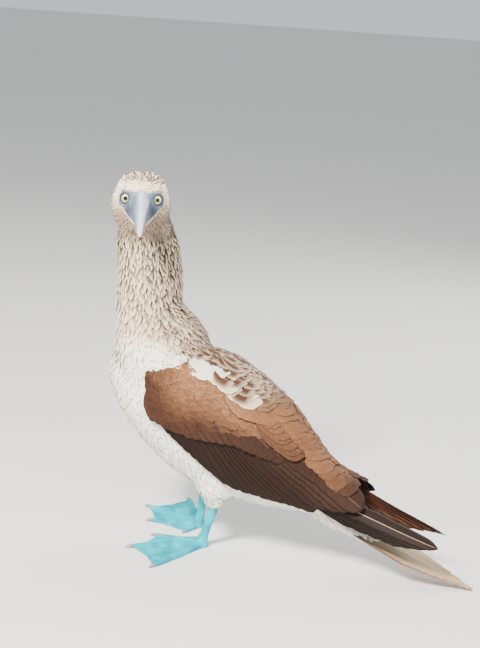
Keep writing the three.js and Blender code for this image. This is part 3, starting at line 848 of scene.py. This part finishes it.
# Tier rows: tip along the axis, tip height, length, width, slope in degrees and lift.
TIERS = {
    "primaries": (7, [(-38, 2, 125, 16, 3, 2.0), (-96, 15, 150, 16, -2, 3.5), (-131, 33, 175, 16, -8, 5.0)]),
    "secondaries": (18, [(200, -18, 60, 17, 36, 3.6), (105, -36, 128, 19, 31, 5.0),
                         (8, -6, 130, 19, 12, 6.6)]),
    "greater_coverts": (17, [(224, -15, 36, 15, 36, 6.2), (172, -5, 46, 17, 31, 7.4),
                             (122, 15, 56, 18, 24, 8.4), (70, 22, 60, 19, 13, 9.2)]),
    "tertials": (5, [(2, 4, 112, 22, 10, 8.0), (-16, 12, 120, 22, 8, 9.5), (-34, 20, 124, 20, 5, 10.6)]),
    "scapulars": (14, [(136, 40, 42, 13, 20, 10.2), (100, 46, 56, 13, 15, 11.0), (54, 28, 72, 15, 12, 11.8)]),
}
TIER_TONES = {
    "primaries": (tint(24, 16, 14), tint(36, 24, 19)), "secondaries": (tint(30, 17, 13), tint(40, 23, 16)),
    "greater_coverts": (tint(66, 41, 29), tint(54, 33, 24)), "tertials": (tint(42, 26, 19), tint(52, 33, 24)),
    "scapulars": (tint(142, 98, 66), tint(92, 60, 41)),
}
FAR_PRIMARY_TONES = tint(84, 50, 34), tint(70, 42, 30)
SHAFT_PALE = tint(206, 182, 150)


def tier_row(stations, share):
    place_in = share * (len(stations) - 1)
    return np.array([np.interp(place_in, range(len(stations)), column) for column in zip(*stations)])


def wing_feather(side, row, tip, rows, columns, closed, tilt, thick, notch=0.0):
    tip_along, tip_height, length, width, slope, lift = row
    angle = math.radians(slope)

    def where(u, across, rise):
        back = length * (1 - u)
        bow = 2.5 * np.sin(np.pi * u)
        along = tip_along + back * math.cos(angle) + (across + bow) * math.sin(angle)
        height = tip_height + back * math.sin(angle) - (across + bow) * math.cos(angle)
        return on_wing(side, along, height, lift - (1 - u) * 2.2 + rise)

    return vane(where, width, tip, rows, columns, tilt, thick, closed, notch) + (length,)


flight_finish = vane_finish("flight_feathers", 0.55, 0.0)
covert_finish = vane_finish("covert_feathers", 0.7, 0.02)


def flight_tone(first, second, share, pale_shaft, edge_tone):
    base = between(first, second, share) * chance.uniform(0.88, 1.1)

    def colour(u, s):
        tone = blend(base, edge_tone, step(np.abs(s), 0.8, 1.0) * 0.55)
        return blend(tone, SHAFT_PALE, (np.abs(s) < SHAFT_HALF) * pale_shaft)

    return colour


for side, word in ((-1, "left"), (1, "right")):
    bed = wing_bed(side, f"wing_bed_{word}")
    set_colours(bed.data, tint(78, 52, 40))
    bed.data.materials.append(feather_finish)
    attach(bed, "root")
    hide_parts(f"wing_{word}")
    for tier, (count, stations) in TIERS.items():
        first, second = TIER_TONES[tier]
        tip, pale = broad_tip, 0.12
        if tier == "primaries":
            tip, pale = pointed_tip, 0.8
            if word == "right":
                first, second = FAR_PRIMARY_TONES
        made = []
        for i in range(count):
            share = i / (count - 1)
            row = tier_row(stations, share)
            row[0] += chance.uniform(-2, 2)
            row[2] *= chance.uniform(0.97, 1.03)
            parts = wing_feather(side, row, tip, 22, SHAFT_COLUMNS, True, 1.5, 0.8, 0.12)
            made.append(parts + (flight_tone(first, second, share, pale, second * 1.12),))
        finish = flight_finish if tier in ("primaries", "secondaries") else covert_finish
        feather_piece(f"{tier}_{word}", finish, made)

# Lesser and median coverts lie like scales from the wrist back to the greater coverts, small at
# the leading edge and longer behind, and turn tan towards the back. Higher up the wing and towards
# the wrist they are painted lighter, and along their lower edge darker: painted light and shade
# from above.
COVERT_STEP = (4.6, 3.3)
COVERT_DARK, COVERT_TAN = tint(74, 45, 30), tint(166, 118, 80)
COVERT_COLUMNS = np.array([-1, -0.5, 0, 0.5, 1.0])
COVERT_LOW = np.array([
    (60, 34), (76, 32), (126, 33), (170, 16), (206, -8), (226, -13), (246, -4), (270, 16), (279, 36)])
COVERT_HIGH = np.array([
    (60, 0.95), (136, 0.93), (165, 0.86), (190, 0.81), (235, 0.81), (254, 0.84), (267, 0.74), (277, 0.52)])


def bake_spot(side, along, height, tall):
    """Where on the OFBake map a feather of the wings lies: along and up, one half for each wing."""
    return (along + 20) / 320 * 0.48 + (0.5 if side > 0 else 0), (height + 60) / tall


def covert_tone(tone):
    def colour(u, s):
        shaft = (np.abs(s) < 0.3) * step(u, 0.1, 0.5) * 0.45
        return blend(blend(tone, tone * 1.3, step(u, 0.6, 1) * 0.5), tone * 0.45, shaft)

    return colour


for side, word in ((-1, "left"), (1, "right")):
    made, spots = [], []
    for along in np.arange(276, 66, -COVERT_STEP[0]):
        low = read_curve(COVERT_LOW, along) + 2
        middle, half, _ = section_at(along)
        high = middle + half * read_curve(COVERT_HIGH, along)
        for j, height in enumerate(np.arange(low, high, COVERT_STEP[1])):
            t = along + (j % 2) * COVERT_STEP[0] / 2 + chance.uniform(-0.9, 0.9)
            h = height + chance.uniform(-0.8, 0.8)
            behind = np.clip((262 - t) / 190, 0, 1)
            below = np.clip(1 - (h - low) / 45, 0, 1)
            length = (10 + 8 * behind + 5 * below) * chance.uniform(0.85, 1.15)
            width = (4.6 + 2.4 * behind) * chance.uniform(0.85, 1.15)
            slope = 38 - 22 * behind + chance.uniform(-7, 7) - 18 * np.clip((h - 30) / 30, 0, 1)
            drop = length * 0.8 * math.sin(math.radians(slope)) * 0.6
            lift = 8.2 + 1.4 * behind * below + chance.uniform(-0.25, 0.35)
            # Share of tan: tan towards the back is the plumage's own colour; lighter with height and towards
            # the wrist is painted light from above.
            tan_and_painted_light = np.clip((h - min(low, 4) + 0.25 * max(0, t - 235)) / 60 + behind * 0.45 - 0.34, 0, 1)
            tone = between(COVERT_DARK, COVERT_TAN, tan_and_painted_light) * chance.uniform(0.78, 1.2)
            # Darker along the covert field's lower edge: painted shade.
            tone = tone * (0.72 + 0.28 * step(h - low, 0, 14))
            row = (t - length * 0.8, h - drop, length, width, slope, lift)
            parts = wing_feather(side, row, broad_tip, 5, COVERT_COLUMNS, False, 0.25, 0.4)
            made.append(parts + (covert_tone(tone),))
            spots.append(bake_spot(side, t, h, 140))
    feather_piece(f"coat_wing_{word}", covert_finish, made, spots)

# Mantle and upper scapular feathers close the back between the wings. They are brown with broad
# cream fringes, some of those over the wing's front are white, and the rear ones plain brown.
BACK_STEP = 7.5
BACK_FRONT, BACK_REAR = (0.81, 0.88, 0.95, 1.03, 1.11, 1.19), (0.93, 1.02, 1.11, 1.19)
BACK_COLUMNS = np.array([-1, -0.6, -0.2, 0.2, 0.6, 1.0])
REAR_BROWN, RUMP_BROWN = tint(124, 84, 56), tint(60, 38, 27)


def white_share(along, share):
    """How many of the feathers at a place are white: most of those along the wing's upper edge."""
    if along > 182 and share < 0.94:
        return 0.75
    return 0.3 if along > 150 and share < 0.9 else 0.0


def back_tone(core, rim, rear):
    def colour(u, s):
        fringe = np.maximum(step(np.abs(s), 0.45, 0.95), step(u, 0.72, 0.95))
        return blend(core, rim, fringe * (0.66 - 0.4 * rear))

    return colour


for side, word in ((-1, "left"), (1, "right")):
    made, spots = [], []
    for along in np.arange(250, -4, -BACK_STEP):
        middle, half, _ = section_at(along)
        for j, share in enumerate(BACK_FRONT if along > 150 else BACK_REAR):
            t = along + (j % 2) * 4.2 + chance.uniform(-2.2, 2.2)
            h = middle + half * (share + chance.uniform(-0.02, 0.02))
            length, width = chance.uniform(20, 30), chance.uniform(9, 12.5)
            slope = 6 + chance.uniform(-7, 7) - 8 * share
            lift = 11.6 - 5.5 * step(t, 180.0, 250.0) - 1.8 * (share > 1.05) + chance.uniform(-0.4, 1.2)
            drop = length * 0.5 * math.sin(math.radians(slope))
            row = (t - length * 0.75, h - drop, length, width, slope, lift)
            pale = chance.random() < white_share(t, share)
            rear = step(165.0 - t, 0, 50)
            core = (WHITE if t > 200 else FRINGE) * 0.9 if pale else between(RUFOUS, REAR_BROWN, rear)
            core = between(core, RUMP_BROWN, step(50.0 - t, 0, 55)) * chance.uniform(0.82, 1.1)
            rim = CREAM if pale else between(FRINGE, core * 1.3, rear)
            parts = wing_feather(side, row, broad_tip, 7, BACK_COLUMNS, False, 0.5, 0.4)
            made.append(parts + (back_tone(core, rim, rear),))
            spots.append(bake_spot(side, t, h, 160))
    feather_piece(f"coat_back_{word}", covert_finish, made, spots)

# The tail: fourteen pointed feathers fan out of one root, the middle pair longest and on top,
# buff and cream with brown edges and pale shafts. Its tip rests on the floor.
TAIL_ROOT, TAIL_TIP = np.array([142.0, 0.0, 68.0]), np.array([336.0, 0.0, -1.0])
TAIL_WAY = (TAIL_TIP - TAIL_ROOT) / np.linalg.norm(TAIL_TIP - TAIL_ROOT)
TAIL_RISE = np.array([-TAIL_WAY[2], 0, TAIL_WAY[0]])
TAIL_ASIDE = np.array([0, 1, 0])
TAIL_PAIRS, TAIL_LONGEST, TAIL_SHORTEST, TAIL_SPREAD = 7, 204.0, 128.0, 12.0
TAIL_LOWEST = 0.15


def tail_place(side, share, length):
    """Puts a vane's points on one tail feather: share is 0 for the middle pair, 1 for the outermost."""
    turned = math.radians(side * (0.8 + TAIL_SPREAD * share))
    out = TAIL_WAY * math.cos(turned) + TAIL_ASIDE * math.sin(turned)
    aside = -TAIL_WAY * math.sin(turned) + TAIL_ASIDE * math.cos(turned)
    stacked = (0.5 - share) * 1.2 * TAIL_PAIRS * 0.5

    def where(u, across, rise):
        points = TAIL_ROOT + out * (length * (0.08 + 0.92 * u))[..., None]
        sink = stacked * (1 - 0.75 * u) + side * 0.3 * (1 - u)
        points = points + TAIL_RISE * (sink + rise)[..., None] + aside * across[..., None]
        points[..., 1] += side * 3 * (1 - u)
        points[..., 2] = np.maximum(points[..., 2], TAIL_LOWEST)
        return points

    return where


def tail_tone(side, share):
    def colour(u, s):
        tone = blend(tint(228, 206, 170), tint(186, 146, 100), step(u, 0.35, 0.9) * 0.8)
        outer = step(s * side, -0.2, 0.9) * (0.55 + 0.45 * share)
        tone = blend(tone, tint(96, 64, 44), outer * step(u, 0.08, 0.4) * 0.9)
        return blend(tone, tint(240, 226, 200), (np.abs(s) < SHAFT_HALF) * 0.8)

    return colour


made = []
for i in range(TAIL_PAIRS - 1, -1, -1):
    share = i / (TAIL_PAIRS - 1)
    length = between(TAIL_LONGEST, TAIL_SHORTEST, share ** 0.8)
    width = 18.5 * (0.8 if i < 2 else 1)
    for side in (-1, 1):
        where = tail_place(side, share, length)
        parts = vane(where, width, pointed_tip, 26, SHAFT_COLUMNS, -0.25 * side, 0.8, True, 0.1)
        made.append(parts + (length, tail_tone(side, share)))
tail_piece = feather_piece("tail_feathers", vane_finish("tail_feathers", 0.55, 0.1), made)
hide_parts("tail")

# The bill: two horny sheaths, deep at the face and drawn to a fine straight tip. A closed groove
# runs along each side of the upper one where the nostril is sealed.
BILL_LENGTH = 105.0
BILL_DROP = math.radians(12.5)
BILL_ROOT = head_point(35, 0, 8)
BILL = [
    (-0.12, 12.4, 14.5, 14), (0.1, 11.6, 13.6, 13), (0.35, 8.6, 10.2, 9.8), (0.6, 5.8, 7.4, 6.6),
    (0.82, 3.8, 5.2, 4.2), (0.95, 2.4, 3.4, 2.6), (1, 1, 1.4, 1.2),
]
GAPE, GAPE_HALF = -3.5, 0.15
NOSTRIL_RISE = 2.5
BILL_ROUND = 40
BILL_WAY = HEAD_FRONT * math.cos(BILL_DROP) - UP * math.sin(BILL_DROP)
BILL_RISE = HEAD_FRONT * math.sin(BILL_DROP) + UP * math.cos(BILL_DROP)
bill_rows = smooth_rows(BILL, 8)
horn = new_finish("bill_horn", {"Roughness": 0.38, "Coat Weight": 0.15})
spot = add_node(horn, "TexCoord", {}).outputs["Object"]
stretch = add_node(horn, "Mapping", {"Vector": spot, "Rotation": (-BILL_DROP, 0, -HEAD_TURN),
                                     "Scale": (420, 40, 420)}).outputs["Vector"]
streaks = add_node(horn, "TexNoise", {"Vector": stretch, "Scale": 1.0, "Detail": 4}).outputs["Fac"]
surface(horn, mixed(horn, "OVERLAY", 0.5, painted(horn), streaks), streaks, 0.0003, 0.4)


def sheath_rings(lower):
    rows = bill_rows[bill_rows[:, 3] > (-GAPE + 0.6)] if lower else bill_rows
    turn_at = np.linspace(0, 2 * math.pi, BILL_ROUND, endpoint=False)
    rings = []
    for share, wide, high, low in rows:
        rise = np.sin(turn_at) * np.where(np.sin(turn_at) > 0, high, low)
        flat = wide * np.cos(turn_at)
        groove = np.exp(-((rise - NOSTRIL_RISE) / 0.9) ** 2) * (0.04 < share < 0.52) * 0.8
        flat = flat - np.sign(flat) * groove
        rise = np.minimum(rise, GAPE - GAPE_HALF) if lower else np.maximum(rise, GAPE + GAPE_HALF)
        middle = BILL_ROOT + BILL_WAY * share * BILL_LENGTH
        rings.append(middle + np.outer(flat, HEAD_LEFT) + np.outer(rise, BILL_RISE))
    return np.array(rings)


def sheath_colours(points):
    """Slate at the face, pink at the tip, pale along the ridge, and dark with painted shade in the groove and
    the gape.
    """
    along = (points - BILL_ROOT) @ BILL_WAY / BILL_LENGTH
    rise = (points - BILL_ROOT) @ BILL_RISE
    aside = np.abs((points - BILL_ROOT) @ HEAD_LEFT)
    tone = blend(tint(92, 104, 130), tint(134, 146, 170), step(along, 0.1, 0.7))
    tone = blend(tone, tint(222, 204, 196), step(along, 0.62, 0.98) * 0.9)
    ridge = np.exp(-(aside / (4.5 - 2.5 * along)) ** 2) * (rise > 0)
    tone = blend(tone, tint(206, 212, 224), ridge * 0.85)
    groove = np.exp(-((rise - NOSTRIL_RISE) / 1.2) ** 2) * step(0.62 - along, 0, 0.2)
    crease_shade = groove + np.exp(-((rise - GAPE) / 0.8) ** 2)
    return blend(tone, tint(58, 66, 88), np.clip(crease_shade * step(aside, 3, 6), 0, 1) * 0.6)


for word, lower in (("upper", False), ("lower", True)):
    sheath = loft(f"sheath_{word}", sheath_rings(lower))
    sheath.data.shade_smooth()
    # The lower sheath takes the same colours at 0.8: painted shade under the bill.
    set_colours(sheath.data, sheath_colours(bird_points(sheath.data)) * (0.8 if lower else 1))
    sheath.data.materials.append(horn)
    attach(sheath, "root")
    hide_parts(f"bill_{word}")

# The eyes look straight at the camera: a pale yellow iris with a round black pupil, under a clear
# wet surface, in a dark grey ring of bare skin.
EYE_TURNS = np.radians([179, 150, 120, 95, 75, 62, 54, 50, 48.6, 47.4, 42, 35, 28, 25, 23.6, 22.4, 12, 6, 1])
EYE_ROUND = 48
LID_RADIUS, LID_THICK = 0.0059, 0.0009
PUPIL, IRIS = math.radians(23), math.radians(48)
eye_finish = new_finish("wet_eye", {"Roughness": 0.25, "Specular IOR Level": 0.2, "Coat Weight": 0.5,
                                    "Coat Roughness": 0.03})
surface(eye_finish, painted(eye_finish))
lid_finish = plumage_finish("lid_skin", 0.45, 0.0, 2500, 0.0003)


def aside_and_up(facing):
    aside = np.cross(UP, facing)
    aside /= np.linalg.norm(aside)
    return aside, np.cross(facing, aside)


for side, word in ((1, "left"), (-1, "right")):
    centre = eye_centre(side)
    gaze = head_way(0.97, side * 0.22, 0.02)
    aside, rise = aside_and_up(gaze)
    ring_at = np.linspace(0, 2 * math.pi, EYE_ROUND, endpoint=False)
    rings = np.array([centre + gaze * EYE_RADIUS * math.cos(a) + EYE_RADIUS * math.sin(a) * (
        np.outer(np.cos(ring_at), aside) + np.outer(np.sin(ring_at), rise)) for a in EYE_TURNS])
    ball = loft(f"eyeball_{word}", rings)
    spots = bird_points(ball.data) - centre
    angle = np.arccos(np.clip(spots @ gaze / np.linalg.norm(spots, axis=1), -1, 1))
    rays = np.arctan2(spots @ rise, spots @ aside)
    tone = tint(226, 226, 150) * (0.92 + 0.08 * np.sin(rays * 17))[:, None]
    tone = blend(tone, tint(150, 148, 70), step(angle, IRIS - 0.16, IRIS) * 0.6)
    tone[angle < PUPIL] = tint(4, 4, 4)
    tone[angle > IRIS] = tint(34, 32, 30)
    set_colours(ball.data, tone)
    ball.data.materials.append(eye_finish)
    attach(ball, "root")
    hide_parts(f"eye_{word}")
    facing = lid_way(side)
    basis = Matrix(np.column_stack([*aside_and_up(facing), facing]).tolist()).to_4x4()
    basis.translation = Vector(place(centre + facing * EYE_RADIUS * math.cos(LID_OPEN) * 1.02))
    bpy.ops.mesh.primitive_torus_add(major_radius=LID_RADIUS, minor_radius=LID_THICK, major_segments=56,
                                     minor_segments=12)
    lid = bpy.context.object
    lid.name = lid.data.name = f"lid_{word}"
    lid.data.transform(basis)
    lid.data.shade_smooth()
    set_colours(lid.data, tint(66, 72, 72))
    lid.data.materials.append(lid_finish)
    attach(lid, "root")

# Legs and webbed feet in one scaled turquoise skin. Each leg is fused from the CAD's tarsus and
# foot, and its sole is kept just above the floor.
FLOOR_ROOM = 0.0001
leg_skin = new_finish("turquoise_skin", {"Roughness": 0.42, "Specular IOR Level": 0.04})
spot = add_node(leg_skin, "TexCoord", {}).outputs["Object"]
scales = add_node(leg_skin, "TexVoronoi", {"Vector": spot, "Scale": 420}, feature="DISTANCE_TO_EDGE")
edges = shades_of(leg_skin, scales.outputs["Distance"], (0.0, (0.55, 0.7, 0.75)), (0.12, (1, 1, 1)))
patches = object_noise(leg_skin, 55, 3)
patches = shades_of(leg_skin, patches, (0.32, tint(0, 134, 152)), (0.66, tint(0, 186, 196)))
surface(leg_skin, mixed(leg_skin, "MULTIPLY", 0.5, patches, edges), edges, 0.0004, 0.6)


def keep_above_floor(made):
    points = read_points(made.data)
    points[:, 2] = np.maximum(points[:, 2], FLOOR_ROOM)
    made.data.vertices.foreach_set("co", points.ravel())
    made.data.update()


for word in ("left", "right"):
    pieces = [flesh_copy(f"tarsus_{word}"), flesh_copy(f"foot_{word}")]
    for piece in pieces:
        finish_with(piece, "DISPLACE", strength=0.0003, mid_level=0)
    leg = fused(f"leg_{word}", pieces, 0.0009, 7)
    keep_above_floor(leg)
    leg.data.materials.append(leg_skin)
    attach(leg, "root")
    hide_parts(f"tarsus_{word}", f"foot_{word}")

# Each toe ends in a small curved claw of grey-pink horn with darker mottling. It is the CAD's own
# claw, with its edges rounded a little.
claw_horn = new_finish("claw_horn", {"Roughness": 0.4})
growth = object_noise(claw_horn, 700, 3)
mottle = shades_of(claw_horn, growth, (0.35, tint(112, 96, 98)), (0.65, tint(176, 152, 148)))
surface(claw_horn, mottle, growth, 0.0002, 0.4)
for word in ("left", "right"):
    for toe in (1, 2, 3, 4):
        claw = fused(f"horn_{word}_{toe}", [flesh_copy(f"claw_{word}_{toe}")], 0.00045, 3)
        keep_above_floor(claw)
        claw.data.materials.append(claw_horn)
        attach(claw, "root")
        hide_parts(f"claw_{word}_{toe}")
